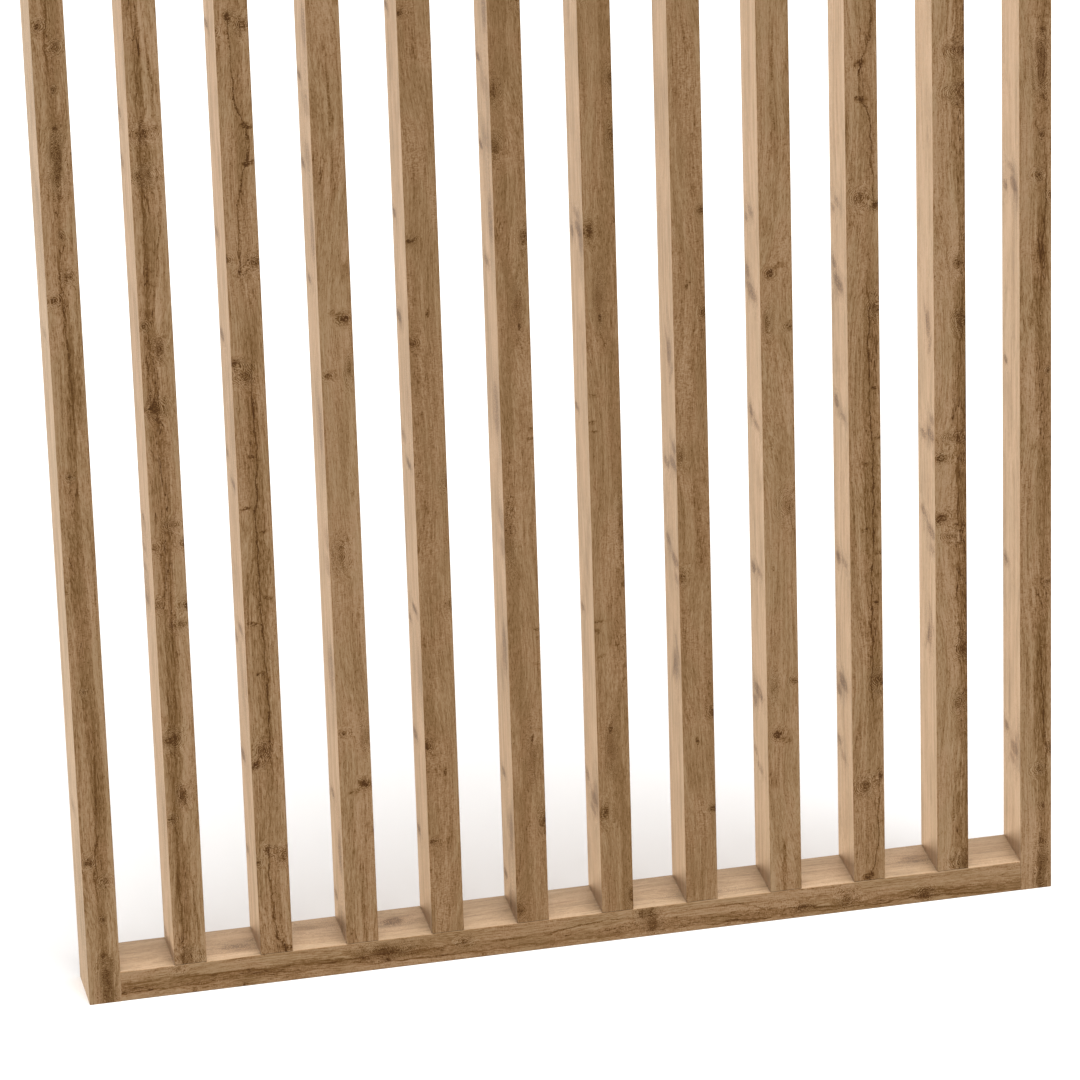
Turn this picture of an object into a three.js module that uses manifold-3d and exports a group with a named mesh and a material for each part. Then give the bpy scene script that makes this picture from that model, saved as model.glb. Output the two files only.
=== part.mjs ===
// A slatted room divider: slats that turn on pins between a bottom rail and a top rail, with a post at each end.
// Units are millimetres. X runs along the divider, Y from its front to its back, and Z up.
// The origin is on the floor, under the middle of the bottom rail.

import * as THREE from 'three';
import { mergeVertices } from 'three/addons/utils/BufferGeometryUtils.js';
import Module from 'manifold-3d';

const wasm = await Module();
wasm.setup();

// ---------------------------------------------------------------- driving dimensions

const overallWidth = 1100;
const overallHeight = 2500;
const slatCount = 10;

// Posts, rails and slats are cut from one board, wrapped in foil over slightly eased long edges.
const boardThickness = 36;
const boardDepth = 72;
const edgeRadius = 0.8;

// Pivots: a steel pin in each end of a slat turns in a flanged nylon bush let into the rail.
const pinDiameter = 10;
const pinGrip = 40; // length of pin held in the slat
const pinChamfer = 0.8;
const pinTipGap = 2; // from the pin's tip to the end of the bush, at the bottom
const bushWall = 2.2;
const flangeDiameter = 24;
const flangeThickness = 2;
const flangeProud = 0.3; // how far the flange stands out of the rail
const railFloor = 8; // wood left beyond the bush's bore

// Corners: one screw through the post into the rail's end, between two glued dowels.
const screwDiameter = 7;
const screwReach = 34; // length of screw in the rail
const screwTip = 4;
const screwHeadDiameter = 10;
const screwHeadHeight = 4;
const socketWidth = 4; // across the flats of the hexagon
const socketDepth = 2.5;
const capDiameter = 13; // seat of the thin cap that covers the screw
const capDepth = 1;
const dowelDiameter = 8;
const dowelReach = 15; // length of dowel in the post
const dowelInset = 14; // from the board's edge to the dowel's axis

// Clearances.
const seatGap = 0.3; // round everything that is pressed, glued or screwed in, and under each slat
const runningGap = 0.06; // between a pin and its bush, at the flats of the two polygons
const headGap = 1.5; // between a slat's head and the top rail

// Fineness of round shapes.
const roundSides = 16;
const edgeSegments = 3;

// ---------------------------------------------------------------- derived dimensions

const railLength = overallWidth - 2 * boardThickness;
const slatPitch = (overallWidth - boardThickness) / (slatCount + 1);
const slatFoot = boardThickness + flangeProud + seatGap;
const slatHead = overallHeight - boardThickness - headGap;
const slatLength = slatHead - slatFoot;

const boreDepth = boardThickness - railFloor;
const bushLength = boreDepth + flangeProud - seatGap;
const pinRadius = pinDiameter / 2;
// The bush's bore is a polygon too, so its corners lie further out than its flats.
const bushBoreRadius = (pinRadius + runningGap) / Math.cos(Math.PI / roundSides);
const bushRadius = bushBoreRadius + bushWall;
const flangeRadius = flangeDiameter / 2;
const pinReach = bushLength - pinTipGap + seatGap;

const railAxisHeight = boardThickness / 2;
const dowelOffset = boardDepth / 2 - dowelInset;

// ---------------------------------------------------------------- materials

function oakFoil() {
  return new THREE.MeshStandardMaterial({ color: '#91704e', roughness: 0.55, metalness: 0, flatShading: true });
}

function steel() {
  return new THREE.MeshStandardMaterial({ color: '#b4b6b8', roughness: 0.35, metalness: 1 });
}

function nylon() {
  return new THREE.MeshStandardMaterial({ color: '#e6e0d0', roughness: 0.5, metalness: 0 });
}

// ---------------------------------------------------------------- cutting and joining

// A closed solid from a geometry, without the flat triangles that a turned shape has where it meets its axis.
function solidOf(geometry) {
  const bare = geometry.clone();
  bare.deleteAttribute('normal');
  bare.deleteAttribute('uv');
  const merged = mergeVertices(bare);
  const corners = merged.index.array;
  const triangles = [];
  for (let i = 0; i < corners.length; i += 3) {
    const [a, b, c] = corners.slice(i, i + 3);
    if (a !== b && b !== c && c !== a) {
      triangles.push(a, b, c);
    }
  }
  return new wasm.Manifold(new wasm.Mesh({
    numProp: 3,
    vertProperties: new Float32Array(merged.attributes.position.array),
    triVerts: new Uint32Array(triangles),
  }));
}

function geometryOf(solid) {
  const mesh = solid.getMesh();
  const geometry = new THREE.BufferGeometry();
  geometry.setAttribute('position', new THREE.BufferAttribute(mesh.vertProperties, 3));
  geometry.setIndex(new THREE.BufferAttribute(mesh.triVerts, 1));
  geometry.computeVertexNormals();
  return geometry;
}

function joined(geometry, additions) {
  return geometryOf(additions.reduce((solid, addition) => solid.add(solidOf(addition)), solidOf(geometry)));
}

function drilled(geometry, cutters) {
  return geometryOf(cutters.reduce((solid, cutter) => solid.subtract(solidOf(cutter)), solidOf(geometry)));
}

// ---------------------------------------------------------------- basic shapes

// A length of board: its thickness along X, its depth along Y and its length up from Z = 0.
function board(length) {
  const x = boardThickness / 2 - edgeRadius;
  const y = boardDepth / 2 - edgeRadius;
  const quarter = Math.PI / 2;
  const section = new THREE.Shape();
  section.absarc(x, y, edgeRadius, 0, quarter);
  section.absarc(-x, y, edgeRadius, quarter, 2 * quarter);
  section.absarc(-x, -y, edgeRadius, 2 * quarter, 3 * quarter);
  section.absarc(x, -y, edgeRadius, 3 * quarter, 4 * quarter);
  return new THREE.ExtrudeGeometry(section, { depth: length, bevelEnabled: false, curveSegments: edgeSegments });
}

// A shape turned round the Z axis from [radius, height] points.
function turned(profile) {
  const points = profile.map(([radius, height]) => new THREE.Vector2(radius, height));
  return new THREE.LatheGeometry(points, roundSides).rotateX(Math.PI / 2);
}

// A rod round the Z axis, between two heights given in either order.
function rod(radius, oneEnd, otherEnd) {
  const low = Math.min(oneEnd, otherEnd);
  const high = Math.max(oneEnd, otherEnd);
  return turned([[0, low], [radius, low], [radius, high], [0, high]]);
}

// Lays a shape that was made along Z along X, with its top towards +X.
function laidAlongX(geometry) {
  return geometry.rotateY(Math.PI / 2);
}

function named(name, geometry, material) {
  const mesh = new THREE.Mesh(geometry, material);
  mesh.name = name;
  return mesh;
}

// ---------------------------------------------------------------- places that repeat

function numbered(index) {
  return String(index + 1).padStart(2, '0');
}

const slatPlaces = Array.from({ length: slatCount }, (_, index) => ({
  number: numbered(index),
  x: (index - (slatCount - 1) / 2) * slatPitch,
}));

const dowelPlaces = [-dowelOffset, dowelOffset];

// ---------------------------------------------------------------- posts, rails and slats

// A left post. Seen from the rail's end, the screw passes right through it and the dowels stop short.
function post() {
  const outside = -boardThickness / 2;
  const inside = boardThickness / 2;
  const seatDepth = capDepth + screwHeadHeight + seatGap;
  const cutters = [];
  for (const height of [railAxisHeight, overallHeight - railAxisHeight]) {
    const cornerCutters = [
      laidAlongX(rod(screwDiameter / 2 + seatGap, outside - 1, inside + 1)),
      laidAlongX(rod(screwHeadDiameter / 2 + seatGap, outside - 1, outside + seatDepth)),
      laidAlongX(rod(capDiameter / 2, outside - 1, outside + capDepth)),
    ];
    for (const y of dowelPlaces) {
      const hole = rod(dowelDiameter / 2 + seatGap, inside - dowelReach - seatGap, inside + 1);
      cornerCutters.push(laidAlongX(hole).translate(0, y, 0));
    }
    cutters.push(...cornerCutters.map((cutter) => cutter.translate(0, 0, height)));
  }
  return drilled(board(overallHeight), cutters);
}

// A rail lying along X on Z = 0, with its bores open upwards and its dowels glued in.
function rail() {
  const half = railLength / 2;
  const length = laidAlongX(board(railLength).translate(0, 0, -half)).translate(0, 0, railAxisHeight);
  const dowels = [];
  const cutters = [];
  for (const side of [-1, 1]) {
    const end = side * half;
    const screwHole = rod(screwDiameter / 2 + seatGap, end - side * (screwReach + seatGap), end + side);
    cutters.push(laidAlongX(screwHole).translate(0, 0, railAxisHeight));
    for (const y of dowelPlaces) {
      const dowel = rod(dowelDiameter / 2, end - side * dowelReach, end + side * dowelReach);
      dowels.push(laidAlongX(dowel).translate(0, y, railAxisHeight));
    }
  }
  const bushSeat = rod(bushRadius + seatGap, railFloor, boardThickness + 1);
  const flangeSeatFloor = boardThickness + flangeProud - flangeThickness - seatGap;
  const flangeSeat = rod(flangeRadius + seatGap, flangeSeatFloor, boardThickness + 1);
  for (const { x } of slatPlaces) {
    cutters.push(bushSeat.clone().translate(x, 0, 0), flangeSeat.clone().translate(x, 0, 0));
  }
  return drilled(joined(length, dowels), cutters);
}

function slat() {
  const holeRadius = pinRadius + seatGap;
  const holeDepth = pinGrip + seatGap;
  return drilled(board(slatLength), [
    rod(holeRadius, -1, holeDepth),
    rod(holeRadius, slatLength - holeDepth, slatLength + 1),
  ]);
}

// ---------------------------------------------------------------- pins, bushes and screws

// A pin pointing down out of a slat whose foot is at Z = 0.
function pin() {
  return turned([
    [0, -pinReach],
    [pinRadius - pinChamfer, -pinReach],
    [pinRadius, -pinReach + pinChamfer],
    [pinRadius, pinGrip - pinChamfer],
    [pinRadius - pinChamfer, pinGrip],
    [0, pinGrip],
  ]);
}

// A bush hanging down from its flange, whose upper face is at Z = 0.
function bush() {
  return turned([
    [bushBoreRadius, -bushLength],
    [bushRadius, -bushLength],
    [bushRadius, -flangeThickness],
    [flangeRadius, -flangeThickness],
    [flangeRadius, 0],
    [bushBoreRadius, 0],
    [bushBoreRadius, -bushLength],
  ]);
}

// A screw along X for the left end of a rail that starts at X = 0.
function screw() {
  const headTop = boardThickness - capDepth;
  const headUnderside = headTop - screwHeadHeight;
  const screwRadius = screwDiameter / 2;
  const body = turned([
    [0, -screwReach],
    [screwRadius / 2, -screwReach],
    [screwRadius, -screwReach + screwTip],
    [screwRadius, headUnderside],
    [screwHeadDiameter / 2, headUnderside],
    [screwHeadDiameter / 2, headTop],
    [0, headTop],
  ]);
  const socketRadius = socketWidth / Math.sqrt(3);
  const socket = new THREE.CylinderGeometry(socketRadius, socketRadius, 2 * socketDepth, 6);
  socket.rotateX(Math.PI / 2).translate(0, 0, headTop);
  return drilled(body, [socket]).rotateY(-Math.PI / 2);
}

// ---------------------------------------------------------------- assembly

// What one rail carries: the rail, its bushes, the pins that turn in them and the screws at its ends.
// gap is the distance from the rail to the ends of the slats.
function railAssembly(prefix, gap) {
  const group = new THREE.Group();
  group.add(named(`${prefix}_rail`, rail(), oakFoil()));
  for (const { number, x } of slatPlaces) {
    const bushMesh = named(`${prefix}_bush_${number}`, bush(), nylon());
    bushMesh.position.set(x, 0, boardThickness + flangeProud);
    const pinMesh = named(`${prefix}_pin_${number}`, pin(), steel());
    pinMesh.position.set(x, 0, boardThickness + gap);
    group.add(bushMesh, pinMesh);
  }
  for (const [side, facing] of [['left', -1], ['right', 1]]) {
    const screwMesh = named(`${prefix}_${side}_screw`, screw(), steel());
    screwMesh.position.set((facing * railLength) / 2, 0, railAxisHeight);
    screwMesh.rotation.z = facing > 0 ? Math.PI : 0;
    group.add(screwMesh);
  }
  return group;
}

const divider = new THREE.Group();

const leftPost = named('left_post', post(), oakFoil());
leftPost.position.x = -(overallWidth - boardThickness) / 2;
const rightPost = named('right_post', post(), oakFoil());
rightPost.position.x = (overallWidth - boardThickness) / 2;
rightPost.rotation.z = Math.PI;
divider.add(leftPost, rightPost);

divider.add(railAssembly('bottom', flangeProud + seatGap));

// The top is the bottom turned over.
const top = railAssembly('top', headGap);
top.rotation.x = Math.PI;
top.position.z = overallHeight;
divider.add(top);

for (const { number, x } of slatPlaces) {
  const slatMesh = named(`slat_${number}`, slat(), oakFoil());
  slatMesh.position.set(x, 0, slatFoot);
  divider.add(slatMesh);
}

export default divider;
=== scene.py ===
# %% [markdown]
# # A slatted room divider in rustic oak foil
#
# The divider is a frame of two posts and two rails, with a row of upright slats between them that turn on
# hidden pins. Its solids are made elsewhere, at their real size, and this script dresses them: it sets up
# the picture, gives every piece its finish and adds the thin caps that cover the corner screws.
#
# The first cell loads the solids. Each one arrives as an object at the origin, with its place in its mesh,
# so one position in space means the same thing for the solids, for new pieces and for every material.

# %% Load the solids
import math

import bpy
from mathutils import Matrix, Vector


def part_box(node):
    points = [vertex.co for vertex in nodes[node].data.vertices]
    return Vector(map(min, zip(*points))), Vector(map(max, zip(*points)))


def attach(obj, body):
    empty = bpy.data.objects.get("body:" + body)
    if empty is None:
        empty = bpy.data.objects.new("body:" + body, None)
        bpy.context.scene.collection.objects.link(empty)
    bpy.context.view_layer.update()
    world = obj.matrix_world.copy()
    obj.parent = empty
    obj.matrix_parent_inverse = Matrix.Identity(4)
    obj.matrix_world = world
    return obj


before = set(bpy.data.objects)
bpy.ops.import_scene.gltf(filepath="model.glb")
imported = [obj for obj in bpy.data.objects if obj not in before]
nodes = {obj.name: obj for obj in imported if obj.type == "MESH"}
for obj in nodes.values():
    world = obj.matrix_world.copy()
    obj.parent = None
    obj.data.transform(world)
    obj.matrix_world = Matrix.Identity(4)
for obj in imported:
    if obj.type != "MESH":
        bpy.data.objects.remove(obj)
bpy.ops.object.select_all(action="DESELECT")
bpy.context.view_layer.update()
print(len(nodes), "solids loaded")

# %% [markdown]
# ## The camera
#
# The photograph looks down at the foot of the divider from its front left, with a long lens, and crops
# everything above about a metre. The camera's place and angles were found by matching the edges of the
# uprights and of the bottom rail. The photograph is itself cut from a larger picture, so its vanishing
# points lie far off centre. A shifted lens could copy that, but it would throw the object out of every
# other view, so this camera has no shift and comes as close as a centred lens can.

# %% Make the camera
CAMERA_PLACE = (-1.4216, -7.0230, 3.6829)
CAMERA_TILT, CAMERA_ROLL, CAMERA_PAN = 65.914, 1.650, -12.025
CAMERA_LENS = 238.93
CAMERA_REACH = 100

bpy.ops.object.camera_add(
    location=CAMERA_PLACE,
    rotation=[math.radians(angle) for angle in (CAMERA_TILT, CAMERA_ROLL, CAMERA_PAN)],
)
camera = bpy.context.object
camera.data.lens = CAMERA_LENS
camera.data.clip_end = CAMERA_REACH
bpy.context.scene.camera = camera
bpy.context.scene.view_settings.view_transform = "Standard"
print("camera with a lens of", CAMERA_LENS, "mm")

# %% [markdown]
# ## Maths on sockets
#
# A procedural material is a calculation: it starts from a point on the surface and ends in a colour. Wiring
# such a calculation by hand takes dozens of small boxes. One small class makes it readable: it wraps an
# output socket and lets Python's own operators add the Math nodes. Every other kind of node comes from one
# method, `node`, which takes the node's type, its settings and its inputs.

# %% A small class for shader maths
class Socket:
    """An output of a node in a material, which adds Math nodes when it is used in an expression."""

    def __init__(self, tree, output):
        self.tree = tree
        self.output = output

    def node(self, kind, settings=None, inputs=None, output=0):
        """Adds a node to the same material, applies its settings and connects its inputs."""
        made = self.tree.nodes.new(kind)
        for name, value in (settings or {}).items():
            if name == "stops":
                fill_ramp(made.color_ramp, value)
            elif name == "points":
                fill_curve(made.mapping, value)
            else:
                setattr(made, name, value)
        for name, value in (inputs or {}).items():
            if isinstance(value, Socket):
                self.tree.links.new(value.output, made.inputs[name])
            else:
                made.inputs[name].default_value = value
        return Socket(self.tree, made.outputs[output])

    def math(self, operation, *others):
        inputs = {place: value for place, value in enumerate((self, *others))}
        return self.node("ShaderNodeMath", {"operation": operation}, inputs)

    def __add__(self, other):
        return self.math("ADD", other)

    def __sub__(self, other):
        return self.math("SUBTRACT", other)

    def __mul__(self, other):
        return self.math("MULTIPLY", other)

    def __truediv__(self, other):
        return self.math("DIVIDE", other)

    def __rsub__(self, other):
        return self.math("MULTIPLY", -1.0) + other

    def __abs__(self):
        return self.math("ABSOLUTE")

    __radd__ = __add__
    __rmul__ = __mul__

    def ramped(self, low, high):
        """0 below low, 1 above high and a smooth step between. It falls instead if high is below low."""
        inputs = {"Value": self, "From Min": low, "From Max": high}
        if high < low:
            inputs = {"Value": self, "From Min": high, "From Max": low, "To Min": 1.0, "To Max": 0.0}
        return self.node("ShaderNodeMapRange", {"interpolation_type": "SMOOTHSTEP"}, inputs)

    def parts(self):
        """The three parts of a vector."""
        split = self.tree.nodes.new("ShaderNodeSeparateXYZ")
        self.tree.links.new(self.output, split.inputs[0])
        return [Socket(self.tree, part) for part in split.outputs]


def vector(x, y, z):
    return x.node("ShaderNodeCombineXYZ", inputs={"X": x, "Y": y, "Z": z})


def mixed(mask, first, second):
    """The first colour where the mask is 0 and the second where it is 1."""
    settings = {"data_type": "RGBA"}
    return mask.node("ShaderNodeMix", settings, {"Factor": mask, 6: first, 7: second}, output=2)


def linear(red, green, blue):
    """A colour given as it shows on screen, from 0 to 255, in the linear light that shaders use."""
    shares = [part / 255 for part in (red, green, blue)]
    return [part / 12.92 if part <= 0.04045 else ((part + 0.055) / 1.055) ** 2.4 for part in shares] + [1.0]


def fill_ramp(ramp, stops):
    """Puts (position, colour) stops on a colour ramp."""
    while len(ramp.elements) < len(stops):
        ramp.elements.new(1.0)
    for element, (position, colour) in zip(ramp.elements, stops):
        element.position = position
        element.color = colour


def fill_curve(mapping, points):
    """Puts (position, value) points on a float curve."""
    curve = mapping.curves[0]
    while len(curve.points) < len(points):
        curve.points.new(0.5, 0.5)
    for point, place in zip(curve.points, points):
        point.location = place
        point.handle_type = "AUTO_CLAMPED"
    mapping.update()


def new_material(name):
    """A new material, its shader, and the point of the surface as a socket."""
    material = bpy.data.materials.new(name)
    material.use_nodes = True
    tree = material.node_tree
    shader = tree.nodes["Principled BSDF"]
    coordinates = tree.nodes.new("ShaderNodeTexCoord")
    return material, shader, Socket(tree, coordinates.outputs["Object"])


def connect(shader, **sockets):
    """Links sockets to the shader's inputs, with the input's name written with underscores."""
    for name, socket in sockets.items():
        socket.tree.links.new(socket.output, shader.inputs[name.replace("_", " ")])


# %% [markdown]
# ## Light and floor
#
# The photograph is a cut-out on pure white. The fronts are plain, the left faces are clearly paler, and low
# on each left face there is a shadow that is 33 mm high at the front edge and runs out at the back. Such a
# shadow can only come from a light that stands to the left, behind and below, and that is stopped by
# nothing but the bottom rail.
#
# So three lights are used: the world, and two suns. A wide sun from above and in front lights the fronts and
# the tops. A second sun comes from the left, behind and below. Light linking, a list of the objects that
# stop a lamp's light, names only the bottom rail for it, because the slats stand so close that each would
# otherwise keep it off the next. It shows in no reflection, so that the backs don't shine.

# %% The two suns
# A sun is its strength, its angle across in degrees and the direction that it shines from.
KEY = (3.5, 50, (0.12, -0.42, 1.2))
SIDE = (3.3, 12, (-1.0, 0.6, -0.28))


def sun(name, level, angle, towards):
    """A sun that shines from the given direction."""
    bpy.ops.object.light_add(type="SUN", rotation=Vector(towards).to_track_quat("Z", "Y").to_euler())
    lamp = bpy.context.object
    lamp.name = name
    lamp.data.energy = level
    lamp.data.angle = math.radians(angle)
    return lamp


sun("key", *KEY)
side_light = sun("side_light", *SIDE)
blockers = bpy.data.collections.new("side_light_blockers")
blockers.objects.link(nodes["bottom_rail"])
side_light.light_linking.blocker_collection = blockers
side_light.visible_glossy = False

# %% [markdown]
# The world gives an even light from all round, and with it the soft shading where a slat meets a rail. A ray
# from the camera or from a glossy surface that misses everything sees plain white, which the Light Path node
# tells apart from the rays that light the object.

# %% The world
WORLD_LEVEL = 0.5
WHITE = (1.0, 1.0, 1.0, 1.0)

world = bpy.data.worlds.new("studio")
bpy.context.scene.world = world
world.use_nodes = True
background = world.node_tree.nodes["Background"]
light_path = world.node_tree.nodes.new("ShaderNodeLightPath")
camera_ray, glossy_ray, clear_ray = [
    Socket(world.node_tree, light_path.outputs[f"Is {kind} Ray"])
    for kind in ("Camera", "Glossy", "Transmission")
]
seen_directly = camera_ray.math("MAXIMUM", glossy_ray).math("MAXIMUM", clear_ray)
level = seen_directly * (1.0 - WORLD_LEVEL) + WORLD_LEVEL
world.node_tree.links.new(level.output, background.inputs["Strength"])
background.inputs["Color"].default_value = WHITE
print("world at", WORLD_LEVEL)

# %% [markdown]
# The floor is white where nothing shades it, so it keeps the divider's shadow, but it throws back less light
# than it shows, because the photograph has no glow from below.

# %% The floor
FLOOR_TONE = 0.4
FLOOR_SEEN = 1.0
FLOOR_SIZE = 60
FLOOR_ROUGHNESS = 0.9

bpy.ops.mesh.primitive_plane_add(size=FLOOR_SIZE)
floor = bpy.context.object
floor.name = "floor"
floor_material, floor_shader, floor_point = new_material("pale_floor")
floor_path = floor_point.node("ShaderNodeLightPath")
floor_tone = floor_path * (FLOOR_SEEN - FLOOR_TONE) + FLOOR_TONE
connect(floor_shader, Base_Color=floor_tone)
floor_shader.inputs["Roughness"].default_value = FLOOR_ROUGHNESS
floor_shader.inputs["Specular IOR Level"].default_value = 0.0
floor.data.materials.append(floor_material)
print("floor", FLOOR_SIZE, "m wide")

# %% [markdown]
# ## How the foil is drawn
#
# The boards are wrapped in a printed foil that imitates rustic oak: warm mid-brown, with long streaks,
# short flecks that cross the grain, and here and there a heart streak, a drying crack or a knot. The print
# repeats. It is mirrored up and down about every half metre, and the right half of the divider shows the
# left half's prints mirrored.
#
# The fine grain is the same everywhere, so it comes from noise stretched along the board. What makes each
# board different is placed one by one: a print is a short list of bands, cracks, knots and marks, with their
# places on the narrow face in millimetres. It also says how light the board is, how rough its ripple is and
# how strong its grain.

# %% The board and its print, in millimetres
BOARD = 36.0
DEPTH = 72.0
REPEAT = 486.0
FIRST_FOLD = 21.0
WIDE_START = 100.0
print("the print folds every", REPEAT, "mm, first at", FIRST_FOLD, "mm")

# %% The prints of the uprights' narrow faces
# A band or crack is (half width, course), and its course is a list of (height, place across, strength).
# A knot is (across, height, half width, half height, strength). A mark has its lean in degrees at the end.
PRINTS = {
    "post": {
        "tone": 0.09,
        "ripple": 0.6,
        "grain": 1.0,
        "bands": [
            (10, [(0, 20, 0.3), (60, 20, 0.22), (160, 21, 0.26), (250, 22, 0.34), (330, 20, 0.26),
                 (400, 17, 0.24), (486, 17, 0.28)]),
        ],
        "cracks": [
            (1.4, [(0, 22, 0.3), (30, 20, 0.15), (90, 17, 0.15), (130, 15, 0.5), (180, 18, 0.5),
                   (230, 20, 0.4), (300, 22, 0.2), (400, 18, 0.15), (486, 16, 0.25)]),
        ],
        "knots": [(8, 154, 6, 6, 0.4), (25, 129, 6, 6, 0.2), (21, 10, 9, 20, 0.16), (13, 359, 4, 3, 0.25),
                  (20, 82, 3, 4, 0.3)],
        "marks": [(4, 480, 5, 3, 0.2, 0), (20, 39, 4, 5, 0.3, 0)],
    },
    "streaked": {
        "tone": 0.135,
        "ripple": 0.6,
        "grain": 1.0,
        "bands": [
            (11, [(0, 16, 0.36), (40, 15, 0.36), (130, 14, 0.36), (160, 12, 0.32), (235, 12, 0.32),
                 (285, 13, 0.4), (330, 14, 0.4), (420, 15, 0.38), (486, 15, 0.38)]),
        ],
        "cracks": [
            (1.5, [(0, 27, 0.1), (35, 29, 0.3), (80, 27, 0.5), (125, 24, 0.4), (150, 23, 0.0),
                   (486, 23, 0.0)]),
            (1.2, [(0, 12, 0.3), (120, 10, 0.3), (200, 10, 0.26), (290, 14, 0.3), (360, 17, 0.2),
                   (486, 19, 0.3)]),
        ],
        "knots": [(13, 290, 9, 10, 0.28), (20, 222, 6, 10, 0.3), (2, 290, 4, 4, 0.25), (5, 194, 5, 5, 0.22),
                  (38, 450, 9, 7, 0.5), (27, 427, 9, 6, 0.26),
                  (3, 452, 6, 6, 0.2), (14, 24, 14, 9, 0.1)],
        "marks": [(30, 28, 9, 5, 0.2, 14), (5, 24, 8, 5, 0.2, -16), (28, 19, 7, 3, 0.14, -20)],
    },
    "cracked": {
        "tone": 0.06,
        "ripple": 0.6,
        "grain": 1.0,
        "bands": [
            (9, [(0, 24, 0.2), (80, 20, 0.14), (160, 22, 0.08), (240, 20, 0.2), (320, 20, 0.28),
                 (400, 20, 0.22), (486, 19, 0.26)]),
        ],
        "cracks": [
            (1.2, [(0, 30, 0.4), (22, 26, 0.7), (38, 20, 0.7), (60, 17, 0.6), (100, 15.5, 0.55),
                   (130, 14.5, 0.7), (150, 15, 0.3), (200, 20, 0.08), (240, 22, 0.4), (280, 21, 0.6),
                   (315, 21.5, 0.7), (360, 22, 0.5), (410, 20, 0.65), (440, 18, 0.6), (486, 18.5, 0.55)]),
            (1.1, [(0, 33, 0.0), (300, 28, 0.0), (330, 28, 0.3), (486, 27, 0.3)]),
        ],
        "knots": [(3, 248, 8, 5, 0.5), (13, 264, 8, 9, 0.25), (14, 144, 4, 5, 0.5), (31, 134, 8, 9, 0.35),
                  (1, 129, 5, 5, 0.3)],
        "marks": [(9, 418, 9, 3, 0.5, 10), (16, 358, 6, 2.6, 0.45, -8), (28, 447, 7, 3, 0.3, 20),
                  (29, 21, 10, 5, 0.5, 12)],
    },
    "pale": {
        "tone": 0.09,
        "ripple": 0.6,
        "grain": 0.85,
        "bands": [
            (7, [(0, 5, 0.1), (40, 5, 0.2), (70, 5, 0.06), (140, 32, 0.0), (150, 32, 0.2), (180, 32, 0.0),
                 (300, 28, 0.06), (486, 12, 0.06)]),
        ],
        "cracks": [(3.0, [(0, 23, 0.0), (25, 22, 0.4), (60, 21, 0.42), (95, 19, 0.0), (486, 19, 0.0)])],
        "knots": [(27, 210, 6, 6, 0.7), (11, 486, 9, 14, 0.14), (7, 274, 5, 4, 0.35), (31, 268, 5, 14, 0.16)],
        "marks": [(16, 202, 9, 5, 0.25, -18), (29, 414, 3, 5, 0.25, 0)],
    },
    "plain": {
        "tone": 0.015,
        "ripple": 1.0,
        "grain": 0.72,
        "bands": [(8, [(0, 30, 0.04), (200, 6, 0.06), (260, 6, 0.16), (330, 8, 0.08), (486, 12, 0.05)])],
        "cracks": [(1.2, [(0, 30, 0.12), (200, 24, 0.08), (486, 10, 0.08)])],
        "knots": [(3, 247, 6, 6, 0.35), (4, 129, 7, 4, 0.4), (35, 414, 5, 9, 0.2)],
        "marks": [(22, 214, 2.4, 8, 0.4, 0)],
    },
    "figured": {
        "tone": 0.015,
        "ripple": 0.7,
        "grain": 0.72,
        "bands": [(10, [(0, 8, 0.1), (120, 10, 0.12), (230, 20, 0.14), (300, 10, 0.1), (486, 6, 0.16)])],
        "cracks": [(1.2, [(0, 14, 0.12), (240, 12, 0.12), (486, 15, 0.08)])],
        "knots": [(34, 139, 7, 12, 0.3), (3, 478, 8, 20, 0.07), (3, 32, 7, 12, 0.25), (24, 220, 5, 26, 0.12)],
        "marks": [(24, 241, 2.6, 6, 0.45, 0), (33, 373, 7, 2.6, 0.27, 6), (35, 362, 5, 4, 0.26, 0),
                  (32, 331, 9, 2.4, 0.15, 14)],
    },
}

print(len(PRINTS), "narrow prints")

# %% [markdown]
# The wide faces share seven prints. These hold knots, a few marks and a tone alone, and their places are
# listed 100 mm further across, so that no face shows another's.

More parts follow.
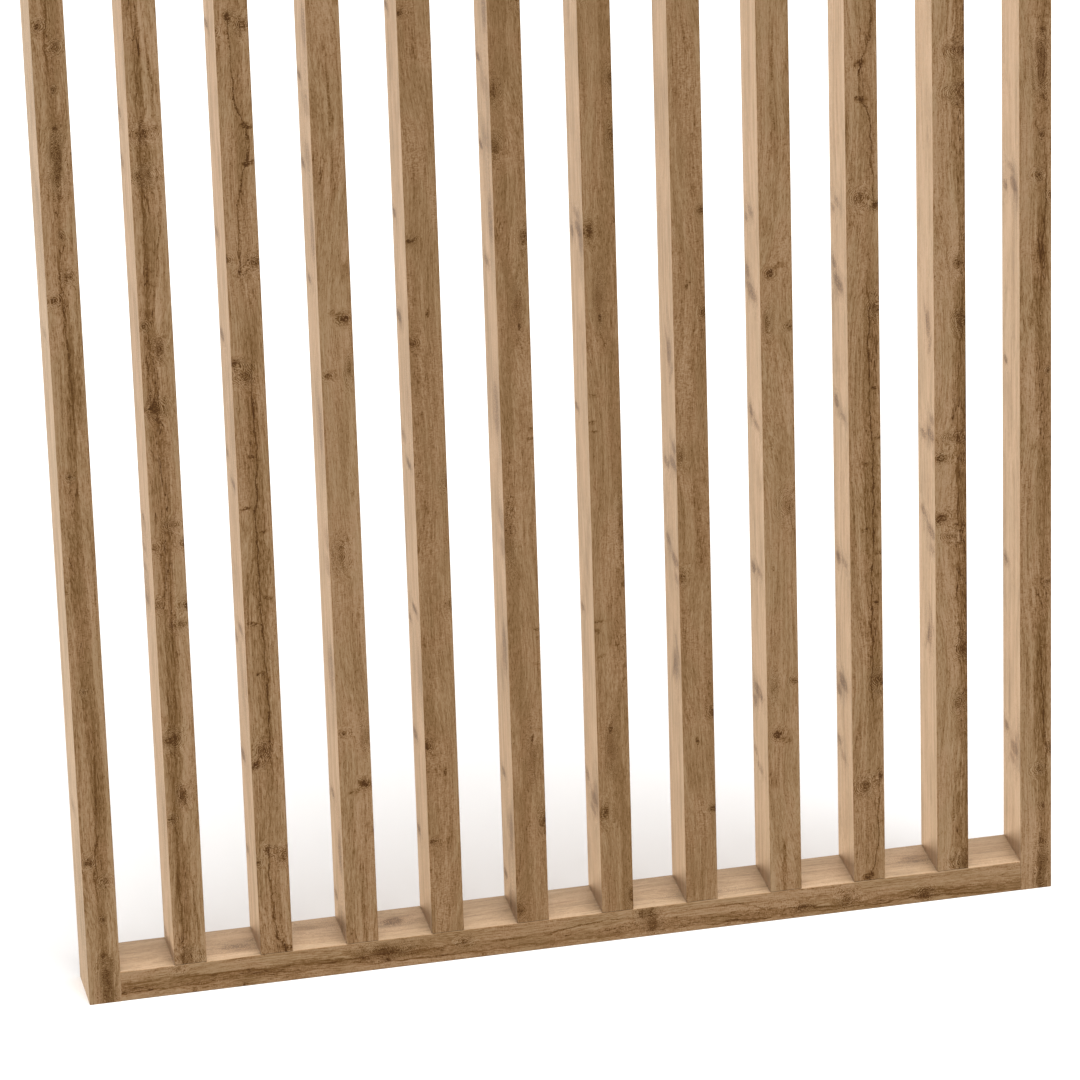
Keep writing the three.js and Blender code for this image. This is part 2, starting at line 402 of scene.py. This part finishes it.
# %% The prints of the wide faces
WIDE_PRINTS = {
    "clean": {
        "tone": -0.1,
        "knots": [(124, 60, 30, 60, 0.05), (140, 205, 20, 7, 0.12)],
    },
    "edged": {
        "tone": 0.0,
        "knots": [(150, 450, 30, 22, 0.12), (118, 190, 16, 60, 0.06), (158, 474, 14, 7, 0.22),
                  (156, 436, 16, 7, 0.2), (160, 28, 16, 10, 0.22)],
    },
    "smoky": {
        "tone": 0.0,
        "knots": [(122, 342, 22, 46, 0.18), (118, 120, 18, 40, 0.2), (112, 470, 26, 18, 0.14),
                  (126, 30, 30, 22, 0.12), (150, 180, 14, 7, 0.25), (158, 50, 14, 7, 0.3)],
    },
    "ticked": {
        "tone": 0.0,
        "knots": [(156, 236, 20, 9, 0.3), (120, 330, 24, 40, 0.06), (130, 400, 18, 6, 0.3),
                  (160, 376, 10, 6, 0.25), (158, 118, 14, 7, 0.3)],
    },
    "edge_knots": {
        "tone": 0.0,
        "knots": [(126, 146, 22, 12, 0.25), (112, 156, 14, 26, 0.12), (158, 366, 12, 6, 0.3),
                  (158, 160, 12, 9, 0.25), (134, 130, 20, 7, 0.16)],
    },
    "looped": {
        "tone": 0.0,
        "knots": [(126, 300, 14, 24, 0.22), (118, 428, 24, 10, 0.26), (150, 440, 18, 8, 0.24),
                  (112, 408, 14, 9, 0.2)],
        "marks": [(118, 322, 6, 28, 0.16, 34), (136, 290, 6, 24, 0.16, -30)],
    },
    "crossed": {
        "tone": 0.0,
        "knots": [(140, 246, 30, 12, 0.3), (158, 228, 14, 10, 0.25), (154, 392, 14, 10, 0.3),
                  (126, 398, 18, 7, 0.2), (140, 152, 18, 8, 0.18), (160, 166, 12, 7, 0.2)],
    },
}
print(len(WIDE_PRINTS), "wide prints")

# %% [markdown]
# A rail is one long piece, so its print doesn't repeat. Its places are counted along it from its middle, and
# both rails share them.

# %% The prints of the rails
RAIL_PRINT = {
    "tone": 0.1,
    "ripple": 0.8,
    "grain": 1.0,
    "bands": [
        (9, [(-514, 16, 0.3), (-380, 16, 0.34), (-215, 17, 0.34), (-120, 13, 0.2), (0, 12, 0.2),
             (120, 13, 0.26), (240, 11, 0.28), (330, 9, 0.24), (400, 12, 0.34), (470, 8, 0.28),
             (514, 8, 0.24)]),
    ],
    "cracks": [
        (1.3, [(-514, 21, 0.2), (-400, 20, 0.3), (-270, 17, 0.3), (-215, 19, 0.6), (-175, 17, 0.3),
               (-130, 20, 0.5), (-110, 18, 0.1), (-80, 17, 0.4), (-40, 17, 0.2), (-20, 21, 0.6),
               (30, 25, 0.5), (120, 25, 0.35), (170, 27, 0.4), (205, 21, 0.6), (225, 14, 0.3),
               (262, 13, 0.6), (300, 9, 0.3), (380, 15, 0.2), (440, 12, 0.3), (514, 10, 0.2)]),
        (1.2, [(-514, 9, 0.5), (-430, 11, 0.35), (-380, 8, 0.2), (-320, 8, 0.4), (-290, 10, 0.3),
               (-215, 9, 0.4), (-150, 8, 0.45), (-60, 8, 0.3), (40, 7, 0.25), (150, 6, 0.35),
               (260, 6, 0.3), (330, 5, 0.4), (400, 8, 0.5), (450, 5, 0.35), (514, 4, 0.2)]),
    ],
    "knots": [(-215, 24, 24, 8, 0.3), (-214, 11, 5, 4, 0.4), (-126, 21, 7, 5, 0.35), (88, 20, 8, 24, 0.3),
              (76, 28, 7, 7, 0.3), (262, 13, 6, 4, 0.35), (312, 18, 9, 8, 0.3), (402, 10, 8, 7, 0.35),
              (-450, 31, 6, 5, 0.25)],
    "marks": [(-432, 3, 4, 3, 0.35, 0), (-375, 3, 4, 3, 0.3, 0), (-105, 3, 4, 3, 0.35, 0)],
}
RAIL_WIDE_PRINT = {
    "tone": 0.0,
    "knots": [(-200, 142, 18, 12, 0.3), (-380, 126, 24, 12, 0.18), (-300, 150, 30, 10, 0.1),
              (400, 138, 26, 14, 0.16), (150, 120, 30, 10, 0.1)],
    "marks": [(-425, 124, 6, 20, 0.2, 0), (-20, 136, 40, 6, 0.12, 0), (250, 116, 40, 6, 0.14, 0)],
}

# %% [markdown]
# ## The oak foil material
#
# Each board gets its own copy of the material, because its print sits at its own place. The steps are the
# same for all:
#
# 1. Work out where the point lies on its face, across and along the board, and move it a little by noise,
#    so that nothing listed in a print keeps a clean outline.
# 2. Add up the tone: long streaks, fine lines, fibres, specks and a cross ripple, then bands, cracks, knots
#    and marks.
# 3. Turn the tone into a colour with a ramp from dark brown to pale tan. The wide faces are paled by a
#    painted sheen.
# 4. Press the cracks and knots in a little with a Bump node, as an embossed foil has them.
#
# The first cell has the colours. The ramp's stops are written as they show on screen. A wide face is mixed
# with a pale tan, a painted sheen that stands in for its glancing reflection, but less so in a knot, because
# a knot that is mixed with it turns grey.

# %% The foil's colours
TAN = [
    (0.00, linear(80, 49, 17)),
    (0.18, linear(105, 72, 34)),
    (0.30, linear(120, 86, 48)),
    (0.39, linear(135, 102, 64)),
    (0.50, linear(148, 114, 77)),
    (0.58, linear(156, 123, 86)),
    (0.66, linear(164, 132, 95)),
    (0.80, linear(172, 141, 106)),
    (1.00, linear(181, 150, 116)),
]
# painted sheen: the wide faces are mixed towards this pale tan, which stands in for their whitish glancing
# reflection
SHEEN_TAN = linear(222, 200, 172)
PINK = (1.02, 0.985, 0.99, 1.0)
SHEEN_SHARE = 0.3
KNOT_SHEEN_LOSS = 0.35
FOIL_GLOSS = 0.16
print(len(TAN), "stops from dark brown to pale tan")

# %% [markdown]
# ### The grain
#
# The grain is built from layers of noise, and each layer has its own size: a streak is 300 mm long, a fibre
# 8 mm. The ripple is the odd one out. It is wider than it is long, so it crosses the grain, as the flecks
# of oak do. Real grain flows round a knot, so the layers are bent: their place across is pushed aside by
# the halo of the knots.

# %% Layers of noise
# A layer is the width and length of its patches in millimetres, its detail, its roughness and its seed.
LAYERS = {
    "waver": (7.0, 24.0, 2.0, 0.6, 3.1),
    "ripple": (3.2, 1.6, 3.0, 0.7, 9.4),
    "sway": (60.0, 220.0, 0.0, 0.6, 7.7),
    "streaks": (8.0, 300.0, 4.0, 0.66, 1.3),
    "lines": (1.8, 110.0, 2.0, 0.6, 4.4),
    "fibres": (0.8, 8.0, 2.0, 0.6, 2.9),
    "patches": (24.0, 70.0, 1.0, 0.6, 5.2),
    "specks": (1.3, 2.0, 1.0, 0.6, 8.6),
    "hairs": (8.0, 90.0, 3.0, 0.6, 6.1),
}
HALO_PULL = 8.0
SWAY_PULL = 40.0
SIDE_PULL = 0.7


def layer(name, grain):
    """A layer of noise around 0 at a place that is given as (across, through, along)."""
    width, length, detail, roughness, seed = LAYERS[name]
    across, through, along = grain
    place = vector(across / width + seed, through / width, along / length)
    inputs = {"Vector": place, "Scale": 1.0, "Detail": detail, "Roughness": roughness}
    return place.node("ShaderNodeTexNoise", {"noise_dimensions": "3D"}, inputs) - 0.5


def bent_round_knots(grain, halo):
    """The place in the grain, pushed aside near a knot and swaying a little everywhere."""
    across, through, along = grain
    pull = halo * HALO_PULL + layer("sway", grain) * SWAY_PULL
    return across + pull, through + pull * SIDE_PULL, along


print(len(LAYERS), "layers of noise")

# %% [markdown]
# ### Knots and marks
#
# A knot is one Mapping node, which turns its oval into a unit circle, and one spherical gradient, which is
# 1 in the middle and 0 at the rim. The oval is drawn wider than the knot. Its inner part is the dark eye,
# and the rest is the halo, which bends the grain, is a little darker and carries the rings. A mark is the
# same without a halo.

# %% Knots and marks
HALO_SIZE = 2.4
HALO_DARKNESS = 0.45
RINGS_PER_MILLIMETRE = 1.1
EYE = (0.62, 0.84)
HALO = (0.1, 0.9)
MARK = (0.0, 0.6)


def oval(place, first, second, half_first, half_second, lean=0.0):
    """1 in the middle of an oval on the face and 0 at its rim."""
    inputs = {
        "Vector": place,
        "Location": (first, 0.0, second),
        "Rotation": (0.0, math.radians(lean), 0.0),
        "Scale": (half_first, 1.0, half_second),
    }
    local = place.node("ShaderNodeMapping", {"vector_type": "TEXTURE"}, inputs)
    return local.node("ShaderNodeTexGradient", {"gradient_type": "SPHERICAL"}, {"Vector": local}, output=1)


def knots_and_marks(place, knots, marks):
    """Three sums over the face: the halos of the knots, the phase of their rings, and how dark it is."""
    halo, rings, dark = 0.0, 0.0, 0.0
    for first, second, half_first, half_second, strength in knots:
        knot = oval(place, first, second, half_first * HALO_SIZE, half_second * HALO_SIZE)
        halo = halo + knot
        rings = rings + knot * (max(half_first, half_second) * RINGS_PER_MILLIMETRE)
        dark = dark + (knot.ramped(*EYE) + knot.ramped(*HALO) * HALO_DARKNESS) * strength
    for first, second, half_first, half_second, strength, lean in marks:
        dark = dark + oval(place, first, second, half_first, half_second, lean).ramped(*MARK) * strength
    return halo, rings, dark


# %% [markdown]
# ### Bands and cracks
#
# A band or crack runs the length of the print, but wanders. Two Float Curve nodes draw it: one gives its
# place across for every height, the other its strength, and the distance from the first decides what is
# inside it.

# %% Bands and cracks
LINE_CORE = 0.4


def curve(share, values):
    """A smooth curve through (share, value) points."""
    return share.node("ShaderNodeFloatCurve", {"points": values}, {"Value": share})


def line(across, share, start, end, half_width, course):
    """A band or crack that follows its course along the board, as strong as the course says."""
    spots = [((along - start) / (end - start), place, power) for along, place, power in course]
    centre = curve(share, [(spot, place / BOARD) for spot, place, _ in spots]) * BOARD
    strength = curve(share, [(spot, power) for spot, _, power in spots])
    return abs(across - centre).ramped(half_width, half_width * LINE_CORE) * strength


def lines_together(across, share, start, end, courses):
    """All bands, or all cracks, of a print."""
    together = 0.0
    for half_width, course in courses:
        together = together + line(across, share, start, end, half_width, course)
    return together


# %% [markdown]
# ### The tone
#
# The tone is a sum around 0.54, the board's plain middle tone. First comes the grain. Then bands, cracks
# and knots are taken away from it, each broken up by the finer layers, so that it looks like wood and not
# like paint. The strengths of the layers were found by comparing close views with the photograph.

# %% Adding up the tone
MIDDLE_TONE = 0.54
STREAKS, LINES, FIBRES, RIPPLE, RINGS, SPECKS = 0.8, 0.8, 1.0, 1.2, 0.28, 0.22
FULL_TURN = 6.28


def grain_tone(parts, design):
    """The tone of the grain alone."""
    phase = parts["rings"] * FULL_TURN + parts["waver"] * 10.0 + parts["fibres"] * 3.0
    ring = phase.math("SINE") * parts["halo"].ramped(0.0, 0.6)
    roughness = (parts["patches"] * 4.0 + parts["halo"] * 1.2 + 0.4).math("MAXIMUM", 0.1) * design["ripple"]
    tone = parts["streaks"] * STREAKS + parts["lines"] * LINES + parts["fibres"] * FIBRES
    tone = tone + parts["ripple"] * roughness * RIPPLE + ring * RINGS - parts["specks"] * SPECKS
    return tone * design["grain"]


def full_tone(parts, design, wide_design):
    """The grain with bands, hairs, cracks, knots and marks, and with slightly paler and darker patches."""
    streaks, fibres, ripple, wide = parts["streaks"], parts["fibres"], parts["ripple"], parts["wide"]
    tone = grain_tone(parts, design) - parts["hairs"] * (parts["bands"] + 0.15)
    tone = tone - parts["bands"] * (streaks * 4.0 + parts["lines"] * 4.0 + 0.75)
    tone = tone - parts["cracks"] * (ripple * 2.0 + fibres * 4.0 + 0.52)
    broken = fibres * 4.0 + ripple * (wide * 6.0 + 7.0) + (wide * 0.5 + 0.8)
    tone = tone - parts["dark"] * broken.math("MAXIMUM", 0.0)
    tone = tone + parts["patches"] * (wide * 0.4 + 0.2) + wide * (streaks * 0.5 + wide_design["tone"])
    return tone + (MIDDLE_TONE + design["tone"])


# %% [markdown]
# ### The material
#
# Three functions put the parts together: the drawing, its colour and the material. Only what changes over
# the surface is linked to the shader: colour, roughness and bump. The gloss is the same everywhere, so it
# is set on the shader's own socket.

# %% The drawing
# How far the noise moves what is listed in the prints, in millimetres for each unit of noise.
WAVER_SHIFT, RIPPLE_SHIFT, RIPPLE_SHIFT_ALONG, STREAK_SHIFT = 10.0, 3.0, 10.0, 30.0


def foil_parts(point, find_place, start, end, swap, design, wide_design):
    """Every part of the drawing at a point of the board. swap is true where the grain runs along X."""
    across, along, wide, grain = find_place(point)
    waver, ripple = layer("waver", grain), layer("ripple", grain)
    across = across + waver * WAVER_SHIFT + ripple * RIPPLE_SHIFT
    along = along + ripple * RIPPLE_SHIFT_ALONG
    place = vector(along, 0.0, across) if swap else vector(across, 0.0, along)
    marks = design["marks"] + wide_design.get("marks", [])
    halo, rings, dark = knots_and_marks(place, design["knots"] + wide_design["knots"], marks)

    bent = bent_round_knots(grain, halo)
    parts = {name: layer(name, bent) for name in ("streaks", "lines", "fibres", "patches")}
    parts.update(waver=waver, ripple=ripple, wide=wide, halo=halo, rings=rings, dark=dark)
    parts["specks"] = layer("specks", grain).ramped(0.13, 0.2)
    parts["hairs"] = abs(layer("hairs", bent)).ramped(0.016, 0.004) * parts["patches"].ramped(-0.02, 0.08)

    share = (along - start) / (end - start)
    band_place = across + parts["streaks"] * STREAK_SHIFT
    parts["bands"] = lines_together(band_place, share, start, end, design["bands"])
    parts["cracks"] = lines_together(across, share, start, end, design["cracks"])
    return parts


# %% The colour and the material
EMBOSSING = {"Strength": 0.3, "Distance": 0.0004}


def foil_colour(tone, parts):
    """The tone as a colour, pinker in some patches, and with a painted sheen that pales the wide faces."""
    tan = tone.node("ShaderNodeValToRGB", {"stops": TAN}, {"Fac": tone})
    settings = {"data_type": "RGBA", "blend_type": "MULTIPLY"}
    pinkness = (parts["patches"] * 6.0 + 0.5).math("MINIMUM", 1.0)
    pink = tan.node("ShaderNodeMix", settings, {"Factor": pinkness, 6: tan, 7: PINK}, output=2)
    # painted sheen: the wide faces are paled towards a pale tan, less so in a knot
    painted_sheen = (SHEEN_SHARE - parts["dark"] * KNOT_SHEEN_LOSS).math("MAXIMUM", 0.0)
    return mixed(parts["wide"] * painted_sheen, pink, SHEEN_TAN)


def oak_foil(name, find_place, start, end, swap, design, wide_design):
    """The foil of one board. find_place turns a point into its place on the face, in millimetres."""
    material, shader, point = new_material(name)
    parts = foil_parts(point, find_place, start, end, swap, design, wide_design)
    colour = foil_colour(full_tone(parts, design, wide_design), parts)
    streaks, cracks = parts["streaks"], parts["cracks"]
    relief = streaks * 0.6 + parts["fibres"] * 1.0 - cracks * 1.5 - parts["dark"] * 0.4
    bump = relief.node("ShaderNodeBump", {}, {"Height": relief, **EMBOSSING})
    shader.inputs["Specular IOR Level"].default_value = FOIL_GLOSS
    connect(shader, Base_Color=colour, Normal=bump, Roughness=cracks * 0.3 + (0.45 - streaks * 0.3))
    return material


# %% [markdown]
# ## Dressing the uprights
#
# An upright's grain runs up it. Its narrow faces, 36 mm, look to the front and to the back, so they are
# where the point lies at the board's full depth, and every other place is on a wide face. On the right half
# of the divider the print is mirrored: the place across is counted from the other edge, or from a little
# beyond it. The wide faces aren't mirrored: WIDE_ORDER names the print of each, from left to right.

# %% Foil on the posts and slats
LEFT_PRINTS = ["post", "streaked", "cracked", "pale", "plain", "figured"]
WIDE_ORDER = ["clean", "edged", "ticked", "smoky", "ticked", "smoky",
              "edge_knots", "looped", "crossed", "crossed", "looped", "edge_knots"]
MIRROR_EDGES = {"post": 45.0, "streaked": 45.0, "cracked": 45.0, "pale": 38.0, "plain": 38.5, "figured": 39.0}
FACE_LIMIT = DEPTH / 2 - 0.5
slat_names = sorted(name for name in nodes if name.startswith("slat_"))
upright_names = ["left_post", *slat_names, "right_post"]


def upright_place(left_edge, mirror_edge):
    """Finds the place on an upright whose narrow face starts at left_edge, in millimetres."""

    def find(point):
        x, y, z = [part * 1000.0 for part in point.parts()]
        wide = abs(y).math("LESS_THAN", FACE_LIMIT)
        narrow_place = x - left_edge
        if mirror_edge:
            narrow_place = mirror_edge - narrow_place
        wide_place = y + (DEPTH / 2 + WIDE_START)
        across = narrow_place + (wide_place - narrow_place) * wide
        along = (z - FIRST_FOLD).math("PINGPONG", REPEAT)
        return across, along, wide, (x, y, z)

    return find


for number, name in enumerate(upright_names):
    mirrored = number >= len(LEFT_PRINTS)
    design = LEFT_PRINTS[len(upright_names) - 1 - number if mirrored else number]
    left_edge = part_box(name)[0].x * 1000
    find_place = upright_place(left_edge, MIRROR_EDGES[design] if mirrored else None)
    wide_print = WIDE_PRINTS[WIDE_ORDER[number]]
    foil = oak_foil(f"oak_foil_{name}", find_place, 0.0, REPEAT, False, PRINTS[design], wide_print)
    nodes[name].data.materials.clear()
    nodes[name].data.materials.append(foil)
print("foil on", len(upright_names), "uprights")

# %% [markdown]
# ## Dressing the rails
#
# A rail's grain runs along it. Its narrow faces are the front and the back, and its wide faces look up and
# down.

# %% Foil on the rails
RAIL_END = 514.0


def rail_place(underside):
    """Finds the place on a rail whose narrow face starts at the height underside, in millimetres."""

    def find(point):
        x, y, z = [part * 1000.0 for part in point.parts()]
        wide = abs(y).math("LESS_THAN", FACE_LIMIT)
        narrow_place = z - underside
        wide_place = y + (DEPTH / 2 + WIDE_START)
        across = narrow_place + (wide_place - narrow_place) * wide
        return across, x, wide, (y, z, x)

    return find


for name in ("bottom_rail", "top_rail"):
    find_place = rail_place(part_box(name)[0].z * 1000)
    foil = oak_foil(f"oak_foil_{name}", find_place, -RAIL_END, RAIL_END, True, RAIL_PRINT, RAIL_WIDE_PRINT)
    nodes[name].data.materials.clear()
    nodes[name].data.materials.append(foil)
print("foil on the rails")

# %% [markdown]
# ## Bright zinc on the pins and screws
#
# The pins are turned steel with a thin bright zinc coat. Turning leaves fine rings round the pin, which a
# wave along its axis gives, and zinc looks slightly cloudy, which noise gives. The screws lie along the
# rails instead, so their rings run along X.

# %% Zinc steel
X_AXIS, Z_AXIS = 0, 2
COARSE_MARKS, FINE_MARKS = 9.0, 23.0  # turning marks, in radians for each millimetre
DULL_ZINC, BRIGHT_ZINC = linear(176, 178, 180), linear(202, 204, 205)
CLOUD_SIZE = {"Scale": 180.0, "Detail": 3.0}
ZINC_RELIEF = {"Strength": 0.15, "Distance": 0.0001}


def zinc_steel(name, axis):
    """Turned steel with a zinc coat, whose turning marks ring the given axis."""
    material, shader, point = new_material(name)
    place = point.parts()[axis] * 1000.0
    marks = (place * COARSE_MARKS).math("SINE") + (place * FINE_MARKS).math("SINE") * 0.5
    cloud = point.node("ShaderNodeTexNoise", {"noise_dimensions": "3D"}, {"Vector": point, **CLOUD_SIZE})
    colour = mixed(cloud.ramped(0.35, 0.65), DULL_ZINC, BRIGHT_ZINC)
    bump = marks.node("ShaderNodeBump", {}, {"Height": marks, **ZINC_RELIEF})
    shader.inputs["Metallic"].default_value = 1.0
    connect(shader, Base_Color=colour, Roughness=cloud * 0.25 + 0.2, Normal=bump)
    return material


turned_zinc = zinc_steel("turned_zinc", Z_AXIS)
screw_zinc = zinc_steel("screw_zinc", X_AXIS)
print("zinc for the pins and the screws")

# %% [markdown]
# ## Natural nylon on the bushes
#
# The bushes are moulded nylon, an ivory plastic that is satin rather than glossy and slightly uneven in
# tone. They line the holes of the rails, and only the rim of a flange can be seen under a slat that is
# turned.

# %% Nylon
DEEP_IVORY, LIGHT_IVORY = linear(222, 216, 200), linear(234, 229, 214)
CLOUD_SCALE, SKIN_SCALE = 260.0, 1600.0
NYLON_RELIEF = {"Strength": 0.1, "Distance": 0.0001}

nylon, nylon_shader, nylon_point = new_material("natural_nylon")
settings = {"noise_dimensions": "3D"}
cloud, skin = [
    nylon_point.node("ShaderNodeTexNoise", settings, {"Vector": nylon_point, "Scale": scale, "Detail": 2.0})
    for scale in (CLOUD_SCALE, SKIN_SCALE)
]
nylon_bump = skin.node("ShaderNodeBump", {}, {"Height": skin, **NYLON_RELIEF})
nylon_colour = mixed(cloud.ramped(0.3, 0.7), DEEP_IVORY, LIGHT_IVORY)
connect(nylon_shader, Base_Color=nylon_colour, Roughness=cloud * 0.2 + 0.35, Normal=nylon_bump)

# %% [markdown]
# All pins share one material, and so do all screws and all bushes. The names of the solids say which is
# which.

# %% Zinc and nylon on their pieces
dressed = 0
for name, node in nodes.items():
    for word, finish in (("_pin_", turned_zinc), ("_screw", screw_zinc), ("_bush_", nylon)):
        if word in name:
            node.data.materials.clear()
            node.data.materials.append(finish)
            dressed += 1
print("zinc or nylon on", dressed, "pieces")

# %% [markdown]
# ## Caps over the corner screws
#
# Four long screws hold the posts to the rails. On furniture like this a thin cap, covered in the same foil,
# hides each screw head, and it lies in a shallow round seat so that nothing stands out of the post. The cap
# is a disc, modelled once and then copied. A bevel modifier rounds its rim.

# %% Model one cap
CAP_DIAMETER = 0.0127
CAP_THICKNESS = 0.0009
CAP_RIM = 0.0003
CAP_SIDES = 64
SMOOTH_ANGLE = 40

bpy.ops.mesh.primitive_cylinder_add(vertices=CAP_SIDES, radius=CAP_DIAMETER / 2, depth=CAP_THICKNESS)
first_cap = bpy.context.object
first_cap.location.z = CAP_THICKNESS / 2
bpy.ops.object.transform_apply(location=True)
rim = first_cap.modifiers.new("rim", "BEVEL")
rim.width = CAP_RIM
rim.segments = 3
rim.limit_method = "ANGLE"
bpy.ops.object.modifier_apply(modifier=rim.name)
bpy.ops.object.shade_smooth_by_angle(angle=math.radians(SMOOTH_ANGLE))
print("cap", [round(size * 1000, 2) for size in first_cap.dimensions], "mm")

# %% [markdown]
# A cap points outwards: to the left on the left post and to the right on the right one. The seat's floor is
# level with the top of the screw head, so the screw's own box says where the cap goes.

# %% Place the four caps
for screw_name in sorted(name for name in nodes if name.endswith("_screw")):
    low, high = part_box(screw_name)
    outwards = -1 if "left" in screw_name else 1
    cap = first_cap.copy()
    cap.data = first_cap.data.copy()
    cap.name = screw_name.replace("screw", "screw_cap")
    bpy.context.collection.objects.link(cap)
    cap.location = (low.x if outwards < 0 else high.x, (low.y + high.y) / 2, (low.z + high.z) / 2)
    cap.rotation_euler = (0, math.radians(90 * outwards), 0)
    bpy.ops.object.select_all(action="DESELECT")
    cap.select_set(True)
    bpy.context.view_layer.objects.active = cap
    bpy.ops.object.transform_apply()
    post = "left_post" if outwards < 0 else "right_post"
    cap.data.materials.append(nodes[post].data.materials[0])
    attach(cap, "frame")
bpy.data.objects.remove(first_cap)
